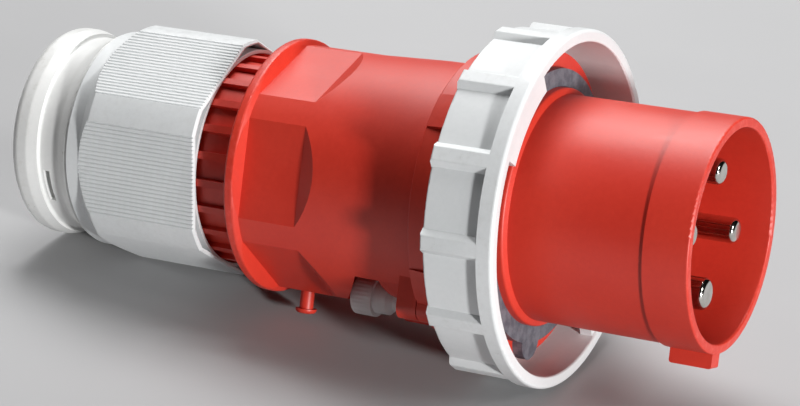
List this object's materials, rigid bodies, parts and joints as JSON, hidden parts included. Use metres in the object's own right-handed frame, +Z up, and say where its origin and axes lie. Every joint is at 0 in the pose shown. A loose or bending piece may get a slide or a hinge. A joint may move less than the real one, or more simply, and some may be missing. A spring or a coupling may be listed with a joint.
{
  "type": "pin and sleeve plug",
  "caption": "Heavy-duty watertight power plug: round keyed shroud with coaxial-circle contact pins, bayonet locking ring, gripped housing and screwed cable gland.",
  "frame": {"origin": "bottom centre of the bounding box, on the floor that the plug lies on", "axes": "+X towards the contact pins, with the plug's nose raised about 7 degrees because it rests on the locking ring and the gland nut; +Z up"},
  "size_m": [0.2458, 0.1122, 0.1129],
  "materials": {
    "red_plastic": "satin moulded polyamide, signal red",
    "grey_plastic": "fine-textured moulded polyamide, light grey",
    "white_plastic": "moulded polyamide, off-white",
    "gasket_rubber": "dark grey moulded rubber, matt",
    "black_rubber": "black rubber, matt",
    "nickel": "nickel-plated turned brass, bright",
    "zinc_steel": "zinc-plated steel",
    "brass_insert": "plain turned brass"
  },
  "bodies": {
    "housing": {"front_body": "red_plastic", "contact_carrier": "grey_plastic", "carrier_screws": "zinc_steel", "earth_pin": "nickel", "phase_pin_1": "nickel", "phase_pin_2": "nickel", "phase_pin_3": "nickel", "terminal_screws": "zinc_steel", "housing_seal": "black_rubber", "face_gasket": "gasket_rubber", "rear_housing": "red_plastic", "lock_screw": "grey_plastic", "lock_insert": "brass_insert", "cable_seal": "black_rubber", "seal_insert": "black_rubber", "thrust_ring": "white_plastic", "clamp_cage": "white_plastic"},
    "ring": {"bayonet_ring": "grey_plastic"},
    "bell": {"bell_mouth": "white_plastic"},
    "nut": {"gland_nut": "grey_plastic"}
  },
  "joints": [
    {"name": "ring_turn", "type": "hinge", "parent": "housing", "child": "ring", "pos_m": [0.04366, 0, 0.05464], "axis": [0.9926, 0, 0.1214], "range_deg": [0, 45]},
    {"name": "bell_travel", "type": "slide", "parent": "housing", "child": "bell", "axis": [-0.9926, 0, -0.1214], "range_m": [0, 0.00605]},
    {"name": "nut_turn", "type": "hinge", "parent": "bell", "child": "nut", "pos_m": [-0.0685, 0, 0.04092], "axis": [-0.9926, 0, -0.1214], "range_deg": [0, 540]}
  ],
  "couplings": [
    {"joint": "bell_travel", "follows": "nut_turn", "m_per_rad": 0.00063662}
  ]
}
